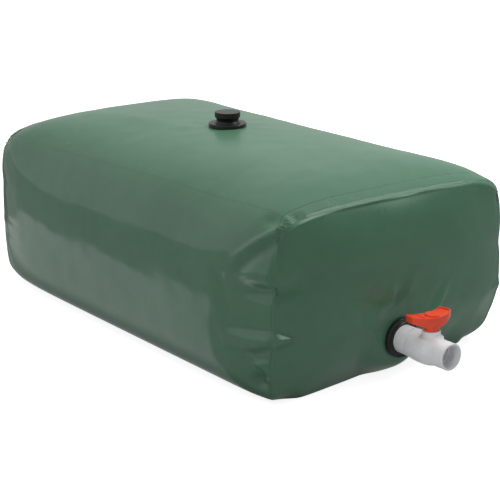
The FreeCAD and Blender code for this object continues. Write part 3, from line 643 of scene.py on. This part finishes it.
def ear(side, inward, y, level):
    """Two small flaps round a hollow at the top strip's front end, fine wrinkles at its back."""
    near, across = y - ear_y, (y - wrinkle_y) / 0.004
    hollow = -0.0060 * bell(near / 0.010) * bell((inward - 0.010) / 0.009)
    lifts = bell((near - 0.020) / 0.008) + 1.5 * bell((near + 0.018) / 0.006)
    flaps = 0.0034 * lifts * bell((inward - 0.012) / 0.012)
    wrinkles = 0.0026 * np.cos(across) * bell(across / 4) * bell((inward - 0.010) / 0.010)
    return ((hollow + flaps) * np.where(side > 0, 1, 0.3) + wrinkles) * smooth(level * 2)


def seam_groove(inward, along):
    """A thin groove where the margin's edge is welded down, open at two places in front."""
    opening = bell((along - 0.262) / 0.012) + 0.5 * bell((along - 0.12) / 0.02)
    return -(0.0011 + 0.0022 * opening) * bell((inward - margin - 0.0008) / 0.0017)


def shoulder_wedge(side, x, along):
    """A dark hollow on the shoulder, just before the front corner's gathers."""
    hollow = -0.0060 * bell((x - 0.508) / 0.016) * bell((along - shoulders[0] - 0.004) / 0.015)
    return hollow * (side > 0)


def sheet_relief(side, inward, y, z, nz):
    """All that stands out from the plain bag along the girth lines; nz is how far they face up."""
    x, along = side * (fold_x - inward), girth_places
    soft = 0.0010 * ripple(x, along, 0.24, 5) + 0.0004 * ripple(x, along, 0.08, 6)
    top = cap_wrinkles(x, y) * smooth(nz * 2 - 0.6)
    front = np.where(y < 0, long_side(x, z) * smooth(1 - 2 * np.abs(nz)), 0)
    return (soft * ramp(z, 0, 0.05) + top + front + lap_weld(x, along)
            + ear(side, inward, y, nz) + strip_edges(inward, along) * smooth(nz * 2)
            + seam_groove(inward, along) + shoulder_wedge(side, x, along))


def wrap_row(side, distance):
    """One row of the wrap, near a distance from the middle; each line ends at the margin's edge."""
    share = distance / fold_x
    reach = fold_x - margin_edge
    inward = fold_x - (distance + (reach * share - distance) * ramp(share, 0.65, 1))
    y, z, ny, nz = ring_at(side, inward)
    x = side * (fold_x - inward)
    push = side_folds(x, y, z, np.abs(ny)) + pleats(x, girth_lines)
    push = push + sheet_relief(side, inward, y, z, nz)
    points = np.stack([x, y + ny * push, np.maximum(z + nz * push, 0)], -1)
    points[[0, -1], 2] = 0
    back_along = np.linspace(points[-1, 1], points[0, 1], floor_columns + 2)[1:-1]
    ground = np.stack([np.full(floor_columns, x[0]), back_along, np.zeros(floor_columns)], -1)
    around = np.concatenate([girth_places, end_girth + points[-1, 1] - back_along])
    spread = np.stack([np.full_like(around, side * distance), around], -1)
    return np.concatenate([points, ground]), spread


rows = [wrap_row(-1, distance) for distance in far_rows[::-1]]
rows += [wrap_row(1, distance) for distance in side_rows[1:]]
points = settled(np.array([row[0] for row in rows]))
spread = np.array([row[1] for row in rows]).reshape(-1, 2)
faces = grid_faces(*points.shape[:2])
points = points.reshape(-1, 3)
faces = facing_out(points, faces, (0, 0, belt_z))
fabric_piece("bag_wrap", points, faces, sheet_finish, spread, "body_sheet")

# %% [markdown]
# The end panels
#
# A panel is a second piece of fabric. It bulges out between its corners, turns over a tight fold
# and comes back over the wrap as a welded margin, wide on top and narrow down the sides. Its grid
# runs from the middle out to the fold and on to the margin's edge. Round the outlet the fabric is
# clamped flat, and the pull of the fitting throws folds that fan up from it.

# %% End panels
flat_radius = 0.050           # the fabric is flat this far round the panel's middle
closed_radius = 0.0005        # a panel without a hole starts at this radius
fold_radius = 0.004
bulge = 0.034
middle_z = 0.196
off_ground = 0.0003           # the panel's foot lies this far above the ground
# Place at its height, tilt, height, rise and half width of each fold above the outlet.
valve_forms = ((-0.036, 0.10, 0.190, 0.0042, 0.009),
               (-0.014, 0.70, 0.187, -0.0052, 0.010),
               (0.012, 0.50, 0.200, 0.0030, 0.013),
               (0.110, 0.68, 0.156, 0.0042, 0.010),
               (0.086, 0.60, 0.152, -0.0036, 0.011),
               (-0.105, -0.42, 0.135, -0.0026, 0.012))
valve_fold_half_length = 0.034


def valve_folds(y, z):
    """Tension folds above the outlet: ridges and hollows along lines that spread upwards."""
    total = 0
    for foot, tilt, height, rise, half_width in valve_forms:
        line = foot + tilt * (z - height)
        along = bell((z - height) / valve_fold_half_length)
        total = total + rise * bell((y - line) / half_width) * along
    return total


def panel_face(side, y, z, centre_z, flat_x):
    """x of the face: fold + 34 mm (1 - |y|^3)(1 - |z|^3), blended to a flat round the middle."""
    width = np.minimum(np.abs(y) / end_half_width, 1) ** 3
    rise = np.minimum(np.abs(z / middle_z - 1), 1) ** 3
    x = fold_x + bulge * (1 - width) * (1 - rise)
    if side > 0:
        x = x + valve_folds(y, z)
    radius = np.hypot(y, z - centre_z)
    x = flat_x + (x - flat_x) * ramp(radius, flat_radius, flat_radius + 0.055)
    folds = corner_folds(end_half_width - np.abs(y), z, side, np.where(y > 0, 1, -1))
    soft = 0.0014 * ripple(y, z, 0.20, 11 + side) + 0.0005 * ripple(y, z, 0.07, 15 + side)
    away = ramp(radius, flat_radius, flat_radius + 0.090)
    return x + (folds + soft * ramp(z, 0, ground_fade)) * away


def seam_allowance(y, z):
    """A low thin ridge down the panel's welded sides, and a groove by the gathers."""
    u = end_half_width - np.abs(y)
    ridge = 0.0016 * bell((u - 0.0045 - 0.0015 * np.sin(z * 40)) / 0.0024)
    groove = -0.0042 * bell((u - 0.014) / 0.007) * bell((z - 0.352) / 0.026)
    return ridge * ramp(z, 0, 0.03) * ramp(z, 0.33, 0.30) + groove


def face_rows(side, centre_z, hole_radius, flat_x, edge_y, edge_z):
    """Rows from the middle to just before the fold: over the flat, then over the face."""
    turn = np.arctan2(edge_z - centre_z, edge_y)
    rows = []
    for radius in hole_radius + (flat_radius - hole_radius) * spaced([0, 1], [1 / 4]):
        rows.append([np.full_like(turn, flat_x), radius * np.cos(turn),
                     centre_z + radius * np.sin(turn)])
    start_y, start_z = flat_radius * np.cos(turn), centre_z + flat_radius * np.sin(turn)
    for share in spaced([0, 0.72, 0.985], [1 / 44, 1 / 92])[1:]:
        y = start_y + (edge_y - start_y) * share
        z = start_z + (edge_z - start_z) * share
        x = panel_face(side, y, z, centre_z, flat_x) + seam_allowance(y, z)
        rows.append([x, y, np.maximum(z, off_ground)])
    return rows


def fold_rows(side, centre_z, fold_ring, foot_line):
    """Rows round the fold, a quarter turn of 4 mm radius."""
    fold_y, fold_z, fold_ny, fold_nz = fold_ring
    level = 0 * foot_line
    y0, z0 = np.concatenate([fold_y, foot_line]), np.concatenate([fold_z, level])
    size = np.hypot(y0, z0 - centre_z)
    rows = []
    for turned in np.linspace(0.15, 0.92, 5):
        inward = fold_radius * (1 - math.sin(turned * math.pi / 2))
        x = fold_x - fold_radius * (1 - math.cos(turned * math.pi / 2))
        y = y0 * (1 - inward / size)
        z = centre_z + (z0 - centre_z) * (1 - inward / size)
        folds = corner_folds(end_half_width - np.abs(y), z, side, np.where(y > 0, 1, -1))
        place = side * (fold_x - fold_radius * turned)
        push = side_folds(place, fold_y, fold_z, np.abs(fold_ny)) * turned
        y = y + np.concatenate([fold_ny * push, level])
        z = z + np.concatenate([fold_nz * push, level])
        rows.append([x + folds * (1 - turned), y, np.maximum(z, off_ground)])
    return rows


def margin_rows(side, foot_shares):
    """Rows of the welded margin, from the fold back to its edge over the wrap."""
    rows = []
    for share in np.linspace(0, 1, 11):
        inward = fold_radius + (margin_edge - fold_radius) * share
        y, z, ny, nz = ring_at(side, inward)
        place = side * (fold_x - inward)
        push = side_folds(place, y, z, np.abs(ny)) + pleats(place, girth_lines)
        push = push + sheet_relief(side, inward, y, z, nz)
        push = push + 0.0010 * ramp(nz, 0.3, 0.6) * ramp(inward, fold_radius, fold_radius + 0.004)
        back_y = y[-1] + (y[0] - y[-1]) * foot_shares
        level = 0 * back_y
        rows.append([fold_x - np.concatenate([inward, level + inward[0]]),
                     np.concatenate([y + ny * push, back_y]),
                     np.maximum(np.concatenate([z + nz * push, level]), off_ground)])
    return rows


def panel_points(side, centre_z, hole_radius, flat_x):
    """Rows of a panel: from its middle out to the fold, round it and back along the margin."""
    fold_ring = ring_at(side, np.zeros(len(girth_lines)))
    fold_y, fold_z = fold_ring[:2]
    foot_shares = np.linspace(0, 1, floor_columns * 3)[1:-1]
    foot_line = fold_y[-1] + (fold_y[0] - fold_y[-1]) * foot_shares
    edge_y, edge_z = np.concatenate([fold_y, foot_line]), np.concatenate([fold_z, 0 * foot_line])
    rows = (face_rows(side, centre_z, hole_radius, flat_x, edge_y, edge_z)
            + fold_rows(side, centre_z, fold_ring, foot_line) + margin_rows(side, foot_shares))
    points = np.moveaxis(np.array(rows), 1, -1)
    points[..., 0] *= side
    return settled(points)


def end_panel(name, node, side, centre_z, hole_radius, flat_x):
    """The panel's mesh; without a hole, a fan of triangles closes its middle."""
    points = panel_points(side, centre_z, hole_radius or closed_radius, flat_x)
    first = np.arange(points.shape[1])
    faces = grid_faces(*points.shape[:2])
    points = points.reshape(-1, 3)
    spread = np.stack([points[:, 1], points[:, 2] + fold_x - np.abs(points[:, 0])], -1)
    faces = facing_out(points, faces, (side * 0.4, 0, belt_z)).tolist()
    if not hole_radius:
        points = np.concatenate([points, [[side * flat_x, 0, centre_z]]])
        spread = np.concatenate([spread, [[0, centre_z]]])
        cap = np.stack([first, np.roll(first, -1), 0 * first + len(points) - 1], -1)
        a, b, c = points[cap].transpose(1, 0, 2)
        normal = np.cross(b - a, c - a).sum(0)
        faces += (cap if normal[0] * side > 0 else cap[:, ::-1]).tolist()
    fabric_piece(name, points, faces, panel_finish, spread, node)


end_panel("bag_tap_panel", "tap_end_panel", 1, outlet_z, hole_radius=0.0256, flat_x=0.577)
end_panel("bag_far_panel", "far_end_panel", -1, middle_z, hole_radius=0, flat_x=0.586)

# %% [markdown]
# The fittings' finishes
#
# The fittings are moulded plastic: black, white and red. A fine grain varies the colour, the
# roughness and the height a little, so that no face looks drawn with one even tone. Each subpart
# of the record names its slot, and one loop gives every solid the finish of its slot.

# %% Fitting finishes
def moulded(name, tone, second_tone, roughness):
    """Plastic, rubber or metal; a grain, 120 bumps to the metre, varies colour, gloss and height."""
    shader = Shader(name)
    grain = shader.noise(scale=120.0, detail=3.0)
    base = shader.blend(grain.between(0.3, 0.7), colour(*tone), colour(*second_tone))
    shader.set(Base_Color=base, Roughness=grain * 0.1 + roughness - 0.05,
               Normal=shader.bump(grain, distance=0.0004, strength=0.25))
    return shader.material


slots = {"coated_fabric": sheet_finish}
finishes = (("black_plastic", (22, 24, 23), (28, 30, 29), 0.30),
            ("white_plastic", (232, 233, 235), (237, 238, 240), 0.35),
            ("red_plastic", (238, 74, 44), (242, 82, 50), 0.35),
            ("seat_plastic", (232, 232, 228), (238, 238, 234), 0.3),
            ("rubber", (28, 28, 28), (34, 34, 34), 0.65),
            ("steel", (170, 170, 172), (186, 186, 188), 0.3))
for name, tone, second_tone, roughness in finishes:
    slots[name] = moulded(name, tone, second_tone, roughness)
slots["steel"].node_tree.nodes["Principled BSDF"].inputs["Metallic"].default_value = 1.0
for subpart in frame["record"]["subparts"]:
    node = frame["nodes"][subpart["node"]]
    node.data.materials.clear()
    node.data.materials.append(slots[subpart["material_slot"]])
print("finishes:", sorted(slots))

# %% [markdown]
# Turned details
#
# Some small moulded forms are rings: a bead on the filler flange's rim, the ribbed collar that
# the cap sits down on, and a bead each on the outlet nut, the valve's end piece and the pipe
# socket. Each is a closed profile of (radius, place along the axis) pairs, turned about the axis
# of its fitting.

# %% Rings
ring_steps, bead_steps = 128, 10


def turned_ring(name, centre, along_x, profile, slot):
    """A closed profile turned about an upright axis, or about one along x, through a centre."""
    angle = np.linspace(0, 2 * math.pi, ring_steps, endpoint=False)
    radius, place = np.array(profile).T
    c, s = np.outer(radius, np.cos(angle)), np.outer(radius, np.sin(angle))
    level = np.repeat(place[:, None], ring_steps, 1)
    points = np.stack([level, c, s] if along_x else [c, s, level], -1) + np.array(centre)
    faces = grid_faces(len(profile) + 1, ring_steps) % (len(profile) * ring_steps)
    if not along_x:
        faces = faces[:, ::-1]
    mesh_piece(name, points.reshape(-1, 3), faces, slots[slot])


def bead(radius, place, size):
    """Profile of a round bead."""
    angle = np.linspace(0, 2 * math.pi, bead_steps, endpoint=False)
    return [(radius + size * math.cos(a), place + size * math.sin(a)) for a in angle[::-1]]


filler, outlet = (filler_x, 0, 0), (0, 0, outlet_z)
turned_ring("filler_rim_bead", filler, False, bead(0.0438, 0.4574, 0.0007), "black_plastic")
collar = [(0.0228, 0.4606), (0.0228, 0.4650), (0.0272, 0.4650), (0.0278, 0.4644), (0.0278, 0.4636),
          (0.0270, 0.4632), (0.0270, 0.4626), (0.0288, 0.4620), (0.0290, 0.4606)]
turned_ring("filler_neck_collar", filler, False, collar[::-1], "black_plastic")
turned_ring("outlet_nut_bead", outlet, True, bead(0.0405, 0.5888, 0.0008), "black_plastic")
turned_ring("end_piece_bead", outlet, True, bead(0.0311, 0.6166, 0.0006), "white_plastic")
turned_ring("socket_bead", outlet, True, bead(0.0292, 0.7275, 0.0005), "white_plastic")
print("rings turned, each in", ring_steps, "steps")

# %% [markdown]
# Floor and surroundings
#
# The photograph was taken on a white sweep of paper in a darker studio. To the camera the floor
# is pure white. A glossy coating tells more: the lower half of the bag's long side mirrors the
# white floor in front of it, up to a line, and above that line and on the valve's end it mirrors
# a darker room. So reflected rays see white paper near the bag and a dim floor beyond it. Shadows
# stay, because only part of the floor's white comes from emission.

# %% Floor
paper_white, dim_floor = 0.94, 0.42
paper_side, paper_left = 0.70, 1.15
floor_half_size = 30
floor_z = -0.0004
white = (1.0, 1.0, 1.0, 1.0)


def light_path(shader, name):
    """1 for rays of one kind, and 0 for the others."""
    return shader.node("ShaderNodeLightPath", output=name)


def mirrored_floor(shader):
    """What reflections see: 0.94 on the paper, left of a slanting edge, and 0.42 beyond it; less
    beside the bag's foot, a painted shadow, and a little more at the valve end's foot, painted
    light."""
    x, y = shader.axis(shader.place(), "X"), shader.axis(shader.place(), "Y")
    front = (y + paper_side).between(-0.008, 0.008)
    rear = (paper_side - y).between(-0.02, 0.02)
    left = (x + paper_left).between(-0.05, 0.05)
    right = (0.40 - x + (y + 0.35) * 1.27).between(-0.012, 0.012)
    paper = front.math("MINIMUM", rear).math("MINIMUM", left).math("MINIMUM", right)
    before_valve = (x - 0.45).between(0, 0.15)
    # painted light: the floor that reflections see is lifted to 0.45 at the foot of the valve's end
    painted_light_at_foot = (0.70 - x).between(0, 0.16) * 0.45
    dim = (dim_floor - before_valve * 0.04).math("MAXIMUM", painted_light_at_foot * before_valve)
    # painted shadow: beside the bag's long sides the floor that reflections see falls to 0.35 of its
    # brightness towards the foot
    clear = (y.math("ABSOLUTE") - 0.345).between(0, 0.09) * 0.65 + 0.35
    painted_foot_shadow = clear.math("MAXIMUM", before_valve)
    return (paper * (1 - before_valve) * (paper_white - dim_floor) + dim) * painted_foot_shadow


def glow(shader, strength):
    """White emission of a strength that varies."""
    return shader.node("ShaderNodeEmission", {}, {"Color": white, "Strength": strength},
                       output="Emission")


def floor_material():
    """White to the camera; white paper near the bag and a dim floor further away to reflections."""
    shader = Shader("floor")
    through = light_path(shader, "Is Transmission Ray")
    seen = light_path(shader, "Is Camera Ray").math("MAXIMUM", through)
    matt = shader.node("ShaderNodeBsdfDiffuse", {}, {"Color": (0.62, 0.62, 0.62, 1)}, output="BSDF")
    shown = glow(shader, seen * 0.86)
    lit = shader.node("ShaderNodeAddShader", {}, {0: shown, 1: matt}, output="Shader")
    mirrored = glow(shader, mirrored_floor(shader))
    glossy_ray = light_path(shader, "Is Glossy Ray")
    both = shader.node("ShaderNodeMixShader", {}, {0: glossy_ray, 1: lit, 2: mirrored},
                       output="Shader")
    shader.feed(shader.tree.nodes["Material Output"].inputs["Surface"], both)
    return shader.material


floor_mesh = bpy.data.meshes.new("floor")
floor_corners = [(x * floor_half_size, y * floor_half_size, floor_z)
                 for x, y in ((-1, -1), (1, -1), (1, 1), (-1, 1))]
floor_mesh.from_pydata(floor_corners, [], [(0, 1, 2, 3)])
floor = bpy.data.objects.new("floor", floor_mesh)
floor_mesh.materials.append(floor_material())
bpy.context.scene.collection.objects.link(floor)
print("floor laid")

# %% [markdown]
# Light
#
# The top of the bag is twice as bright as its long side, and the end with the valve is darker
# still. One large soft lamp above and behind the bag does most of that, and a small one with a
# narrow beam lights the valve. Reflected rays see another sky than the one that lights: even and
# rather bright, because the top is seen at a low angle, at which plastic mirrors well, with one
# small bright patch that shines back from the folded edge over the valve's end.

# %% World and lamp
def facing(shader, direction, way):
    """Cosine of the angle between a ray's direction and a fixed way."""
    return shader.node("ShaderNodeVectorMath", {"operation": "DOT_PRODUCT"},
                       {0: direction, 1: Vector(way).normalized()}, output="Value")


def surroundings():
    """White to the camera. Light: 0.19, a ceiling and a front. Reflections: 0.58, a front, less
    at +X, and one glint."""
    world = bpy.data.worlds.new("studio")
    bpy.context.scene.world = world
    world.use_nodes = True
    shader = Shader("studio", world.node_tree)
    direction = shader.node("ShaderNodeTexCoord", output="Generated")
    rear = facing(shader, direction, (-0.62, 0.55, 0.56))
    overhead = facing(shader, direction, (-0.30, -0.12, 0.945))
    front = (0 - shader.axis(direction, "Y")).between(-0.1, 0.5)
    above = rear.between(0.15, 1.0) * 0.25 + overhead.between(0.42, 0.82) * 0.45
    light = above + front * 0.14 + 0.19
    glint = facing(shader, direction, (0.49, 0.59, 0.64)).between(0.962, 0.980)
    to_valve = shader.axis(direction, "X").between(0.1, 0.7)
    mirrored = front * 0.16 + glint * 4.2 - to_valve * 0.38 + 0.58
    glossy_ray = light_path(shader, "Is Glossy Ray")
    camera_ray = light_path(shader, "Is Camera Ray")
    sky = mirrored * glossy_ray + light * (1 - glossy_ray)
    background = shader.tree.nodes["Background"]
    shader.feed(background.inputs["Strength"], sky * (1 - camera_ray) + camera_ray)
    background.inputs["Color"].default_value = white


def lamp(name, place, target, size, power, spread=180):
    """Square soft lamp at a place, aimed at a target; spread is its beam's width in degrees."""
    light = bpy.data.lights.new(name, "AREA")
    light.shape = "RECTANGLE"
    light.size = light.size_y = size
    light.energy = power
    light.spread = math.radians(spread)
    piece = bpy.data.objects.new(name, light)
    piece.location = place
    piece.rotation_euler = (Vector(target) - Vector(place)).to_track_quat("-Z", "Y").to_euler()
    piece.visible_glossy = False
    bpy.context.scene.collection.objects.link(piece)


surroundings()
lamp("rear_lamp", (0.25, 1.5, 2.3), (0, 0, 0.3), size=1.6, power=53)
lamp("valve_lamp", (1.05, -1.1, 0.55), (0.665, 0, 0.105), size=0.14, power=0.026, spread=16)
bpy.context.scene.view_settings.view_transform = "Standard"
print("lamps:", len(bpy.data.lights))
